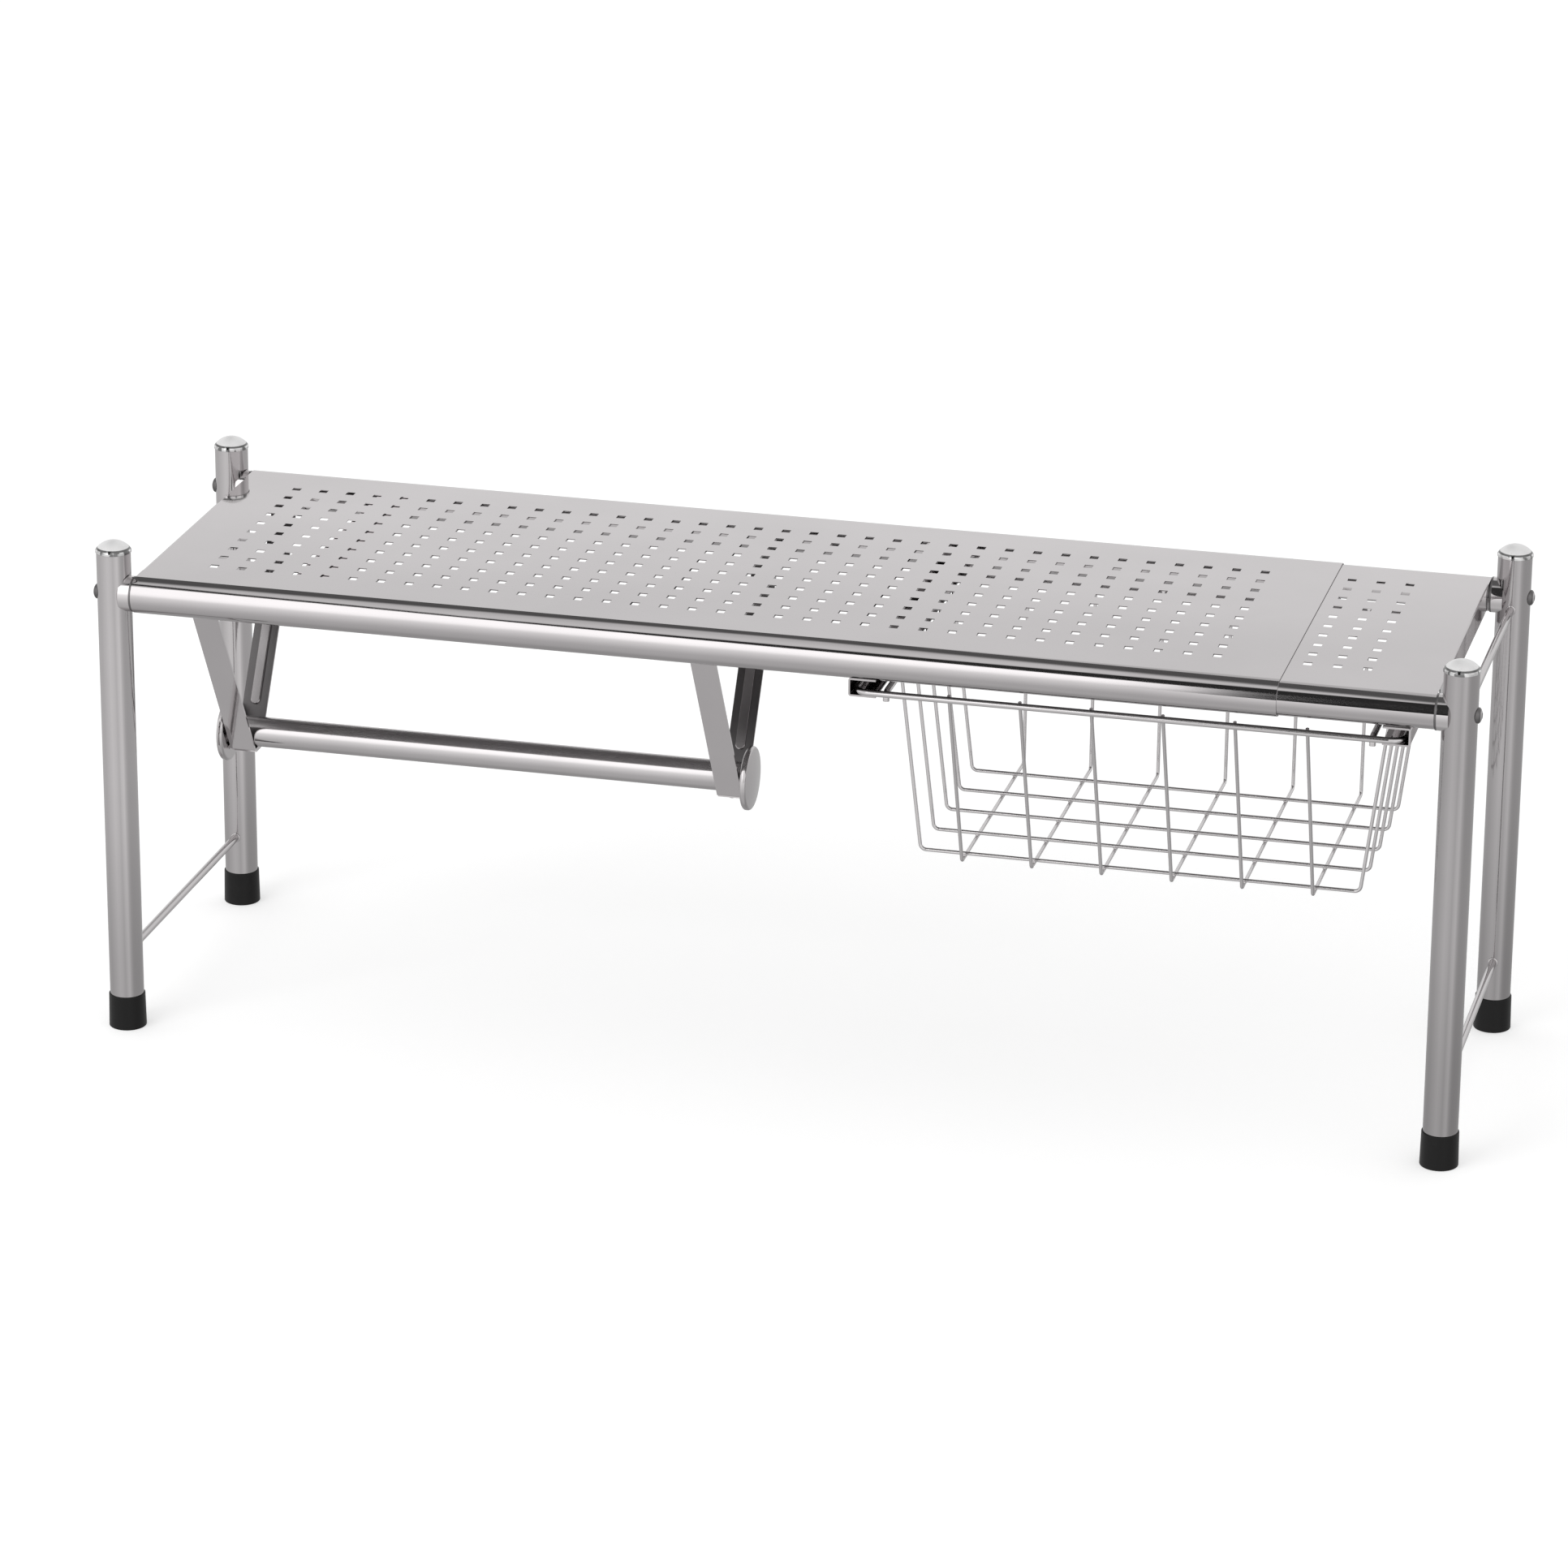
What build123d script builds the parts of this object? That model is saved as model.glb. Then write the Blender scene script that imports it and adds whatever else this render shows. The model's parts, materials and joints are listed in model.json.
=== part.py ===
"""Expandable over-sink shelf: two telescoping decks on four legs, a paper-roll bar and a wire basket.

Millimetres. X runs to the right along the shelf, Y to the back, Z up.
The origin is on the floor, midway between the four legs with the shelf closed to its rest length.
"""
from build123d import *
from math import asin, atan2, cos, floor, hypot, radians, sin, tan
import os

os.makedirs("parts", exist_ok=True)

# Stand
leg_span = 742.0
leg_depth = 198.0
stand_height = 286.0
deck_below_crown = 19.8
leg_d = 19.0
leg_wall = 1.0

# Decks
deck_to_leg = 3.0
inner_show = 83.0
sheet = 0.5
roll_r = 10.2
roll_turn = 295.0
hole_side = 4.8
hole_pitch = 16.0
outer_row_shift = 1.1
inner_row_shift = 3.3
hole_side_margin = 26.0
hole_free_margin = 30.0
outer_hole_margin = 35.5
inner_hole_margin = 41.5
end_flange_depth = 14.0
end_flange_gap = 1.3

# Clearances
slide_gap = 0.3
fit_gap = 0.05
overrun = 2.0

# Legs' fittings
cap_rim = 1.2
cap_dome = 5.3
cap_proud = 0.4
cap_plug = 8.0
foot_height = 19.6
foot_d = 21.0
foot_taper = 0.35
foot_sole = 4.0
foot_edge = 0.5
collar_wall = 0.35
collar_ear = 4.5
collar_plug = 11.0
bolt_d = 4.0
bolt_head_d = 8.6
bolt_head = 2.3
bolt_head_rim = 0.7
bolt_reach = 6.5
bolt_hole_gap = 0.2

# Cross rods
rod_d = 4.5
lower_rod_z = 42.5
upper_rod_drop = 5.2

# Paper-roll holder
bracket_from_leg = 39.5
bracket_spacing = 285.0
strap_width = 14.5
strap = 1.2
hook_lip = 1.0
hook_start_angle = 75.0
hook_end_angle = 60.0
shoulder = 19.0
shoulder_bend = 4.0
trough_bend = 1.2
bar_drop = 111.3
rib_span_shares = (0.17, 0.775)
rib_width = 5.5
rib_rise = 1.2
rib_wall = 1.0
rib_edge = 0.5
rivet_d = 3.0
rivet_head_d = 6.0
rivet_head = 1.5

# Paper-roll bar
bar_d = 17.0
bar_wall = 0.8
disc_d = 36.0
disc_edge = 3.6
disc_crown = 1.6
disc_round = 1.5
disc_gap = 1.0
disc_stem = 15.0

# Basket rails
rail_to_deck_end = 12.7
rail_to_holder = 76.25
rail_sheet = 1.0
rail_flange = 15.0
rail_height = 10.2
rail_gap = 0.4
rail_side_gap = 0.5
rail_bend = 0.9
rail_end_inset = 1.0
hanger = 1.2
hanger_flange = 12.0
hanger_width = 9.0
hanger_inset = 13.0
hanger_bend = 1.4

# Basket
rim_d = 3.6
rim_front_reach = 2.0
rim_rear_reach = 6.0
rim_corner = 8.0
side_rod_inset = 17.0
side_rod_bend = 3.2
side_rod_nub = 4.9
wire_d = 2.0
wire_tip = 1.6
basket_depth = 105.3
basket_front_slope = 42.4
basket_rear_slope = 3.9
basket_side_slope = 10.0
long_wire_count = 5
long_wire_front_margin = 6.4
long_wire_rear_margin = 24.5
long_wire_bend = 3.5
cross_wire_count = 6
cross_wire_margin = 24.5
cross_wire_bend = 2.5

# Places that follow from the sizes
leg_r = leg_d / 2
leg_x = leg_span / 2
leg_y = leg_depth / 2
leg_top = stand_height - cap_rim - cap_dome
roll_z = stand_height - deck_below_crown - roll_r
inner_roll_r = roll_r - sheet - slide_gap
deck_end_x = leg_x - leg_r - deck_to_leg
deck_length = 2 * deck_end_x - inner_show
holder_x = bracket_from_leg + bracket_spacing / 2 - leg_x
disc_inner = (bracket_spacing + strap_width) / 2 + disc_gap
disc_outer = disc_inner + disc_edge + disc_crown
bolt_hole_r = bolt_d / 2 + bolt_hole_gap
rivet_hole_r = rivet_d / 2 + fit_gap

# Trough of the holder: the bar lies in it with the sliding gap all round
bar_z = roll_z - bar_drop
bar_r = bar_d / 2
trough_r = bar_r + slide_gap
hook_r = roll_r + strap / 2
hook_angle = radians(hook_end_angle)
shoulder_y = leg_y - hook_r * cos(hook_angle) - shoulder * sin(hook_angle)
shoulder_z = roll_z - hook_r * sin(hook_angle) + shoulder * cos(hook_angle)
shoulder_reach = hypot(shoulder_y, shoulder_z - bar_z)
arm_lean = atan2(shoulder_y, shoulder_z - bar_z) - asin((trough_r + strap / 2) / shoulder_reach)
trough_z = bar_z - trough_r
trough_half = trough_r * (1 - sin(arm_lean)) / cos(arm_lean)
trough_end = trough_half - strap

# Rails and the basket's rods
rail_left = holder_x + disc_outer + rail_to_holder
rail_right = deck_end_x - rail_to_deck_end
basket_x = (rail_left + rail_right) / 2
rail_half = (rail_right - rail_left) / 2
rail_top = roll_z - roll_r - rail_gap
rail_bottom = rail_top - rail_height
rim_half_width = rail_half - rail_sheet - rail_side_gap - rim_d / 2
rim_front = leg_y + rim_front_reach
rim_rear = leg_y + rim_rear_reach
rim_z = rail_bottom + rail_sheet + slide_gap + rim_d / 2
inner_underside = roll_z + inner_roll_r - sheet
hanger_x = rail_half - hanger_flange / 2 - rail_sheet
hanger_y = leg_y - roll_r - hanger_inset / 2
side_rod_x = rim_half_width - side_rod_inset

# Basket's wires
weld_reach = (rim_d + wire_d) / 2
long_wire_half = side_rod_x - basket_side_slope
long_wire_z = rim_z - basket_depth
cross_wire_z = long_wire_z - wire_d
cross_wire_front = rim_front - basket_front_slope
cross_wire_rear = rim_rear - basket_rear_slope
long_wire_first = long_wire_front_margin - cross_wire_front
long_wire_pitch = (cross_wire_rear - long_wire_rear_margin - long_wire_first) / (long_wire_count - 1)
cross_wire_pitch = 2 * (long_wire_half - cross_wire_margin) / (cross_wire_count - 1)


def save(piece, name):
    piece.part.label = name
    export_step(piece.part, f"parts/{name}.step")


def bent_outline(points, radii, thickness):
    """Sheet metal seen on edge: a strip of even thickness about a bent centre line."""
    with BuildLine() as middle:
        FilletPolyline(*points, radius=radii)
    trace(middle.line, line_width=thickness)


# Decks

def rolled_deck(name, radius, side, hole_margin, row_shift):
    """Perforated sheet with rolled long edges; side is -1 with the leg end on the left, 1 on the right."""
    top = roll_z + radius
    leg_end = side * deck_end_x
    middle = leg_end - side * deck_length / 2
    bend = 2 * sheet
    flange_half = leg_y - roll_r - end_flange_gap
    columns = floor((deck_length - hole_margin - hole_free_margin) / hole_pitch) + 1
    rows = floor((leg_depth - 2 * hole_side_margin) / hole_pitch) + 1
    pattern_x = leg_end - side * (hole_margin + (columns - 1) * hole_pitch / 2)
    with BuildPart() as deck:
        with BuildSketch(Plane.XY.offset(top - sheet)):
            with Locations((middle, 0)):
                Rectangle(deck_length, leg_depth)
            with Locations((leg_end, 0)):
                Rectangle(2 * bend, 2 * flange_half, mode=Mode.SUBTRACT)
            with Locations((pattern_x, row_shift)):
                with GridLocations(hole_pitch, hole_pitch, columns, rows):
                    Rectangle(hole_side, hole_side, mode=Mode.SUBTRACT)
        extrude(amount=sheet)
        with BuildSketch(Plane.YZ.offset(middle)):
            for edge in (-1, 1):
                with BuildLine():
                    outside = CenterArc((edge * leg_y, roll_z), radius, 90, -edge * roll_turn)
                    inside = CenterArc((edge * leg_y, roll_z), radius - sheet, 90, -edge * roll_turn)
                    Line(outside @ 0, inside @ 0)
                    Line(outside @ 1, inside @ 1)
                make_face()
        extrude(amount=deck_length / 2, both=True)
        with BuildSketch(Plane.XZ):
            with BuildLine():
                turn_start = 90 - 90 * side
                bend_x = leg_end - side * bend
                outside = CenterArc((bend_x, top - bend), bend, turn_start, 90 * side)
                inside = CenterArc((bend_x, top - bend), bend - sheet, turn_start, 90 * side)
                Line(outside @ 1, inside @ 1)
                Polyline(
                    outside @ 0,
                    (leg_end, top - end_flange_depth),
                    (leg_end - side * sheet, top - end_flange_depth),
                    inside @ 0,
                )
            make_face()
        extrude(amount=flange_half, both=True)
    save(deck, name)


# Legs and their fittings

def leg(name, x, y):
    with BuildPart() as tube:
        with BuildSketch(Plane.XY.offset(foot_sole)):
            with Locations((x, y)):
                Circle(leg_r)
                Circle(leg_r - leg_wall, mode=Mode.SUBTRACT)
        extrude(amount=leg_top - foot_sole)
        with BuildSketch(Plane.YZ.offset(x)):
            with Locations((y, roll_z)):
                Circle(bolt_hole_r)
        extrude(amount=leg_d, both=True, mode=Mode.SUBTRACT)
    save(tube, name)


def leg_cap(name, x, y):
    """Domed cap with a plug inside the tube's mouth."""
    cap_r = leg_r + cap_proud
    plug_r = leg_r - leg_wall - fit_gap
    with BuildPart() as cap:
        with BuildSketch(Plane.XZ.offset(-y)):
            with BuildLine():
                dome_edge = (x + cap_r, stand_height - cap_dome)
                TangentArc((x, stand_height), dome_edge, tangent=(1, 0))
                Polyline(
                    dome_edge,
                    (x + cap_r, leg_top),
                    (x + plug_r, leg_top),
                    (x + plug_r, leg_top - cap_plug),
                    (x, leg_top - cap_plug),
                    (x, stand_height),
                )
            make_face()
        revolve(axis=Axis((x, y, 0), (0, 0, 1)))
    save(cap, name)


def foot(name, x, y):
    """Rubber cup that the tube stands in."""
    foot_r = foot_d / 2
    bore_r = leg_r + fit_gap
    with BuildPart() as cup:
        with BuildSketch(Plane.XZ.offset(-y)) as outline:
            with BuildLine():
                Polyline(
                    (x, 0),
                    (x + foot_r, 0),
                    (x + foot_r - foot_taper, foot_height),
                    (x + bore_r, foot_height),
                    (x + bore_r, foot_sole),
                    (x, foot_sole),
                    close=True,
                )
            make_face()
            fillet(outline.vertices().sort_by(Axis.X)[-2:], radius=foot_edge)
        revolve(axis=Axis((x, y, 0), (0, 0, 1)))
    save(cup, name)


def collar(name, side, y, radius):
    """Saddle between the rolled edge and the leg, with a plug inside the roll of the given outer radius."""
    start = deck_end_x + slide_gap
    ear_end = leg_x - leg_r + collar_ear
    with BuildPart() as saddle:
        with BuildSketch(Plane.YZ.offset(side * start)):
            with Locations((y, roll_z)):
                Circle(leg_r + collar_wall)
        extrude(amount=side * (ear_end - start))
        with BuildSketch(Plane.YZ.offset(side * start)):
            with Locations((y, roll_z)):
                Circle(radius - sheet - fit_gap)
        extrude(amount=-side * (collar_plug + slide_gap))
        with BuildSketch(Plane.XY.offset(roll_z)):
            with Locations((side * leg_x, y)):
                Circle(leg_r)
        extrude(amount=leg_d, both=True, mode=Mode.SUBTRACT)
        with BuildSketch(Plane.YZ.offset(side * leg_x)):
            with Locations((y, roll_z)):
                Circle(bolt_d / 2 + fit_gap)
        extrude(amount=-side * (leg_r + deck_to_leg + collar_plug + overrun), mode=Mode.SUBTRACT)
    save(saddle, name)


def leg_bolts(name, side):
    """Two bolts through the legs of one end into the collars, with heads seated on the tubes."""
    crest = leg_x + leg_r
    with BuildPart() as bolts:
        for y in (-leg_y, leg_y):
            with BuildSketch(Plane.XZ.offset(-y)):
                with BuildLine():
                    apex = (side * (crest + bolt_head), roll_z)
                    rim = (side * (crest + bolt_head_rim), roll_z + bolt_head_d / 2)
                    TangentArc(apex, rim, tangent=(0, 1))
                    Polyline(rim, (side * leg_x, roll_z + bolt_head_d / 2), (side * leg_x, roll_z), apex)
                make_face()
            revolve(axis=Axis((0, y, roll_z), (1, 0, 0)))
            with BuildSketch(Plane.XY.offset(roll_z)):
                with Locations((side * leg_x, y)):
                    Circle(leg_r)
            extrude(amount=leg_d, both=True, mode=Mode.SUBTRACT)
            with BuildSketch(Plane.YZ.offset(side * (crest + bolt_head_rim))):
                with Locations((y, roll_z)):
                    Circle(bolt_d / 2)
            extrude(amount=-side * (leg_d + bolt_head_rim + deck_to_leg + bolt_reach))
    save(bolts, name)


def cross_rod(name, side, z):
    """Rod welded between the two legs of one end."""
    with BuildPart() as rod:
        with BuildSketch(Plane.XZ):
            with Locations((side * leg_x, z)):
                Circle(rod_d / 2)
        extrude(amount=leg_y, both=True)
        with BuildSketch(Plane.XY.offset(z)):
            with Locations((side * leg_x, -leg_y), (side * leg_x, leg_y)):
                Circle(leg_r)
        extrude(amount=leg_d, both=True, mode=Mode.SUBTRACT)
    save(rod, name)


# Paper-roll holder

def bracket_arm(name, x, side):
    """Strap that hooks under one rolled edge and slants down to the trough; the rear one is ribbed."""
    lap = strap if side > 0 else 0
    hook_mid = radians((hook_start_angle + hook_end_angle) / 2)
    hook_start = radians(hook_start_angle)
    hook_corner = hook_r / cos(radians((hook_start_angle - hook_end_angle) / 2))
    corner_z = trough_z - strap / 2 - lap
    corner_y = trough_half + strap / 2 / cos(arm_lean) + tan(arm_lean) * (corner_z - trough_z)
    route = [
        (
            leg_y - hook_r * cos(hook_start) + hook_lip * sin(hook_start),
            roll_z - hook_r * sin(hook_start) - hook_lip * cos(hook_start),
        ),
        (leg_y - hook_corner * cos(hook_mid), roll_z - hook_corner * sin(hook_mid)),
        (shoulder_y, shoulder_z),
        (corner_y, corner_z),
        (-trough_end, corner_z),
    ]
    with BuildPart() as arm:
        with BuildSketch(Plane.YZ.offset(x)):
            bent_outline([(side * y, z) for y, z in route], [hook_r, shoulder_bend, trough_bend], strap)
        extrude(amount=strap_width / 2, both=True)
        with BuildSketch(Plane.XY.offset(trough_z)):
            with Locations((x, 0)):
                Circle(rivet_hole_r)
        extrude(amount=3 * strap, both=True, mode=Mode.SUBTRACT)
        if side > 0:
            low, high = rib_span_shares
            arm_rise = shoulder_z - corner_z
            middle_z = corner_z + arm_rise * (low + high) / 2
            face_y = trough_half + tan(arm_lean) * (middle_z - trough_z)
            rib_length = arm_rise * (high - low) / cos(arm_lean)
            inner_face = Plane(
                origin=(x, face_y, middle_z), x_dir=(1, 0, 0), z_dir=(0, -cos(arm_lean), sin(arm_lean))
            )
            with BuildSketch(inner_face):
                SlotOverall(rib_length, rib_width, rotation=90)
            extrude(amount=rib_rise)
            crest = arm.faces(Select.LAST).sort_by(Axis(inner_face.origin, inner_face.z_dir))[-1]
            fillet(crest.edges(), radius=rib_edge)
            with BuildSketch(inner_face.offset(-strap)):
                SlotOverall(rib_length - 2 * rib_wall, rib_width - 2 * rib_wall, rotation=90)
            extrude(amount=rib_rise, mode=Mode.SUBTRACT)
    save(arm, name)


def rivets(name, places, top, grip):
    """Rivets flush on top, with a domed head under the sheets that they hold."""
    with BuildPart() as group:
        for x, y in places:
            with BuildSketch(Plane.XZ.offset(-y)):
                with BuildLine():
                    low = top - grip
                    rim = (x + rivet_head_d / 2, low)
                    TangentArc((x, low - rivet_head), rim, tangent=(1, 0))
                    Polyline(
                        rim,
                        (x + rivet_d / 2, low),
                        (x + rivet_d / 2, top),
                        (x, top),
                        (x, low - rivet_head),
                    )
                make_face()
            revolve(axis=Axis((x, y, 0), (0, 0, 1)))
    save(group, name)


def bar_tube(name):
    with BuildPart() as tube:
        with BuildSketch(Plane.YZ.offset(holder_x)):
            with Locations((0, bar_z)):
                Circle(bar_r)
                Circle(bar_r - bar_wall, mode=Mode.SUBTRACT)
        extrude(amount=disc_inner - slide_gap, both=True)
    save(tube, name)


def bar_disc(name, side):
    """End disc with a crowned outer face and a stem inside the tube."""
    disc_r = disc_d / 2
    stem_r = bar_r - bar_wall - fit_gap

    def at(along, out):
        return (holder_x + side * along, bar_z + out)

    with BuildPart() as disc:
        with BuildSketch(Plane.XZ) as outline:
            with BuildLine():
                crown = at(disc_outer, 0)
                rim = at(disc_inner + disc_edge, disc_r)
                TangentArc(crown, rim, tangent=(0, 1))
                Polyline(
                    rim,
                    at(disc_inner, disc_r),
                    at(disc_inner, stem_r),
                    at(disc_inner - disc_stem, stem_r),
                    at(disc_inner - disc_stem, 0),
                    crown,
                )
            make_face()
            fillet(outline.vertices().sort_by(Axis.Y)[-2:], radius=disc_round)
        revolve(axis=Axis((0, 0, bar_z), (1, 0, 0)))
    save(disc, name)


# Basket rails

def basket_rail(name, side):
    """Channel that opens towards the basket and carries the rim."""
    web = basket_x + side * (rail_half - rail_sheet / 2)
    lip = basket_x + side * (rail_half - rail_flange)
    low = rail_bottom + rail_sheet / 2
    high = rail_top - rail_sheet / 2
    length = rim_front + rim_rear - 2 * rail_end_inset
    middle = (rim_rear - rim_front) / 2
    with BuildPart() as rail:
        with BuildSketch(Plane.XZ.offset(-middle)):
            bent_outline([(lip, low), (web, low), (web, high), (lip, high)], rail_bend, rail_sheet)
        extrude(amount=length / 2, both=True)
        with BuildSketch(Plane.XY.offset(rail_top)):
            with Locations((basket_x + side * hanger_x, -hanger_y), (basket_x + side * hanger_x, hanger_y)):
                Circle(rivet_hole_r)
        extrude(amount=2 * rail_sheet, both=True, mode=Mode.SUBTRACT)
    save(rail, name)


def rail_hanger(name, side, y):
    """Bent strip from the rail's top up to the underside of the inner deck."""
    web = basket_x + side * (hanger_x + hanger_flange / 2 - hanger / 2)
    lip = basket_x + side * (hanger_x - hanger_flange / 2)
    low = rail_top + hanger / 2
    high = inner_underside - hanger / 2
    with BuildPart() as strip:
        with BuildSketch(Plane.XZ.offset(-y)):
            bent_outline([(lip, low), (web, low), (web, high), (lip, high)], hanger_bend, hanger)
        extrude(amount=hanger_width / 2, both=True)
        with BuildSketch(Plane.XY.offset(low)):
            with Locations((basket_x + side * hanger_x, y)):
                Circle(rivet_hole_r)
        extrude(amount=hanger, both=True, mode=Mode.SUBTRACT)
    save(strip, name)


# Basket

def bent_wire(name, plane, points, diameter, bend, closed=False):
    with BuildPart() as wire:
        with BuildLine(plane):
            route = FilletPolyline(*points, radius=bend, close=closed)
        with BuildSketch(Plane(origin=route @ 0, z_dir=route % 0)):
            Circle(diameter / 2)
        sweep()
    save(wire, name)


def wire_top(foot_place, foot_z, rod_place, outside):
    """Upper end of a wire that leans from its foot to touch a rod, on the rod's far side if outside is 1."""
    run = rod_place - foot_place
    rise = rim_z - foot_z
    lean = atan2(run, rise) + outside * asin(weld_reach / hypot(run, rise))
    return (foot_place + tan(lean) * (rise + wire_tip), rim_z + wire_tip)


def basket_rim(name):
    left, right = basket_x - rim_half_width, basket_x + rim_half_width
    corners = [(left, -rim_front), (right, -rim_front), (right, rim_rear), (left, rim_rear)]
    bent_wire(name, Plane.XY.offset(rim_z), corners, rim_d, rim_corner, closed=True)


def side_rod(name, side):
    """Rod under which the long wires hang, its ends turned down inside the rim's front and back."""
    front = -rim_front + rim_d
    rear = rim_rear - rim_d
    points = [(front, rim_z - side_rod_nub), (front, rim_z), (rear, rim_z), (rear, rim_z - side_rod_nub)]
    bent_wire(name, Plane.YZ.offset(basket_x + side * side_rod_x), points, rim_d, side_rod_bend)


def long_wire(name, y):
    reach, top = wire_top(long_wire_half, long_wire_z, side_rod_x, 1)
    points = [
        (basket_x - reach, top),
        (basket_x - long_wire_half, long_wire_z),
        (basket_x + long_wire_half, long_wire_z),
        (basket_x + reach, top),
    ]
    bent_wire(name, Plane.XZ.offset(-y), points, wire_d, long_wire_bend)


def cross_wire(name, x):
    front, front_top = wire_top(cross_wire_front, cross_wire_z, rim_front, -1)
    rear, rear_top = wire_top(cross_wire_rear, cross_wire_z, rim_rear, -1)
    points = [
        (-front, front_top),
        (-cross_wire_front, cross_wire_z),
        (cross_wire_rear, cross_wire_z),
        (rear, rear_top),
    ]
    bent_wire(name, Plane.YZ.offset(x), points, wire_d, cross_wire_bend)


# Outer half on the left, inner half on the right
rolled_deck("outer_deck", roll_r, -1, outer_hole_margin, outer_row_shift)
rolled_deck("inner_deck", inner_roll_r, 1, inner_hole_margin, inner_row_shift)
for end, side, radius in (("left", -1, roll_r), ("right", 1, inner_roll_r)):
    for place, y in (("front", -leg_y), ("rear", leg_y)):
        leg(f"{end}_{place}_leg", side * leg_x, y)
        leg_cap(f"{end}_{place}_cap", side * leg_x, y)
        foot(f"{end}_{place}_foot", side * leg_x, y)
        collar(f"{end}_{place}_collar", side, y, radius)
    leg_bolts(f"{end}_leg_bolts", side)
    cross_rod(f"{end}_lower_rod", side, lower_rod_z)
    cross_rod(f"{end}_upper_rod", side, roll_z - upper_rod_drop)

# Paper-roll holder under the outer deck
bracket_places = []
for end, side in (("left", -1), ("right", 1)):
    bracket_x = holder_x + side * bracket_spacing / 2
    bracket_places.append((bracket_x, 0))
    bracket_arm(f"{end}_bracket_front_arm", bracket_x, -1)
    bracket_arm(f"{end}_bracket_rear_arm", bracket_x, 1)
    bar_disc(f"{end}_bar_disc", side)
rivets("bracket_rivets", bracket_places, trough_z, 2 * strap)
bar_tube("bar_tube")

# Rails and basket under the inner deck
rail_places = []
for end, side in (("left", -1), ("right", 1)):
    basket_rail(f"{end}_basket_rail", side)
    side_rod(f"{end}_side_rod", side)
    for place, y in (("front", -hanger_y), ("rear", hanger_y)):
        rail_hanger(f"{end}_{place}_hanger", side, y)
        rail_places.append((basket_x + side * hanger_x, y))
rivets("rail_rivets", rail_places, rail_top + hanger, hanger + rail_sheet)
basket_rim("basket_rim")
for number in range(long_wire_count):
    long_wire(f"long_wire_{number + 1}", long_wire_first + number * long_wire_pitch)
for number in range(cross_wire_count):
    from_middle = (number - (cross_wire_count - 1) / 2) * cross_wire_pitch
    cross_wire(f"cross_wire_{number + 1}", basket_x + from_middle)
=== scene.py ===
"""Studio scene of the expandable over-sink shelf.

Finishes its steel and rubber, adds the welds and the bolts' heads, and sets a pale stage.
"""
import json
import math

import bmesh
import bpy
from bpy.props import FloatProperty, FloatVectorProperty, PointerProperty
from mathutils import Euler, Matrix, Vector


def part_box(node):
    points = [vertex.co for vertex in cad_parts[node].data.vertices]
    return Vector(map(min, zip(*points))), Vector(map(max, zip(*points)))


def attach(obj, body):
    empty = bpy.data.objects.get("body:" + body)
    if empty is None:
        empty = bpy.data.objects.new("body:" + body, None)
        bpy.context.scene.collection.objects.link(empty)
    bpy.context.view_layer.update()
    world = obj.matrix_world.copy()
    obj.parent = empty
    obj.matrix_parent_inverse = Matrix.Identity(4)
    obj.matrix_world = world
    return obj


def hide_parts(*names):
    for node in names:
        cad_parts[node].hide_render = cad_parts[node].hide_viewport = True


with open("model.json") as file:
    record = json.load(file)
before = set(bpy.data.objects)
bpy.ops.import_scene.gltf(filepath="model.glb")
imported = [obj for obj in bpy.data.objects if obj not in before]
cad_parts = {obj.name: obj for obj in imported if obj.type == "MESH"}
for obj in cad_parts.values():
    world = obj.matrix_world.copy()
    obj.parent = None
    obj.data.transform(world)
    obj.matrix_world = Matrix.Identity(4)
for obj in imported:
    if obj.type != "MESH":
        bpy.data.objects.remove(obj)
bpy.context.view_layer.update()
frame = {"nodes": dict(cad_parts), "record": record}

bl_info = {
    "name": "Expandable Over-Sink Shelf",
    "version": (1, 0, 0),
    "blender": (4, 5, 0),
    "location": "View3D > Sidebar > Shelf",
    "description": "Finishes a telescoping steel shelf with a paper-roll bar and a wire basket",
    "category": "Object",
}

NODES = frame["nodes"]
BODIES = frame["record"]["behaviour"]["bodies"]
BODY_OF = {node: body for body, nodes in BODIES.items() for node in nodes}

# Lean of the brackets' arms away from upright.
ARM_LEAN = math.radians(30.71)

# Soft edges of the painted shade at the bolts' rims and in their sockets, as distances from the
# bolt's axis.
RIM_EDGE = (0.00283, 0.00332)
SOCKET_EDGE = (0.00141, 0.00173)

# Depths of relief, in metres.
DRAW_LINE_DEPTH = 0.0000015
WAVE_DEPTH = 0.0005
GRAIN_DEPTH = 0.00005

# How far smears and specks take the steel towards its worn shade, a share of its own colour.
SMEAR_SHARE = 0.2
SPECK_SHARE = 0.05
WORN_SHADE = 0.8

# How much the roughness varies with the smears, and again with the draw lines.
POLISH_RANGE = 0.03

# The Mix node's two colour sockets, which share their names with its number sockets.
FIRST_COLOR, SECOND_COLOR = 6, 7

# Light of the dome on the object, the floor's own glow to the camera, and its two greys.
DOME_LIGHT = 0.75
FLOOR_GLOW = 0.45
FLOOR_GREYS = (0.8, 0.79)

# Share of the light that the gap between the lamps takes away, and the dark panel's own light.
GAP_SHARE = 0.98
PANEL_LIGHT = 0.12

# What polished steel mirrors, as (place, brightness) stops from the front over to the back.
OVER_THE_TOP = (
    (0.0, 1.05), (0.045, 1.25), (0.09, 1.55), (0.16, 1.7), (0.36, 1.7), (0.37, 0.8), (0.42, 0.85),
    (0.5, 0.78), (0.555, 0.72), (0.7, 0.65), (0.868, 0.72), (0.876, 0.75), (0.882, 0.95),
    (0.888, 0.84), (0.8915, 0.84), (0.897, 0.96), (0.91, 1.0), (1.0, 0.8),
)

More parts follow.
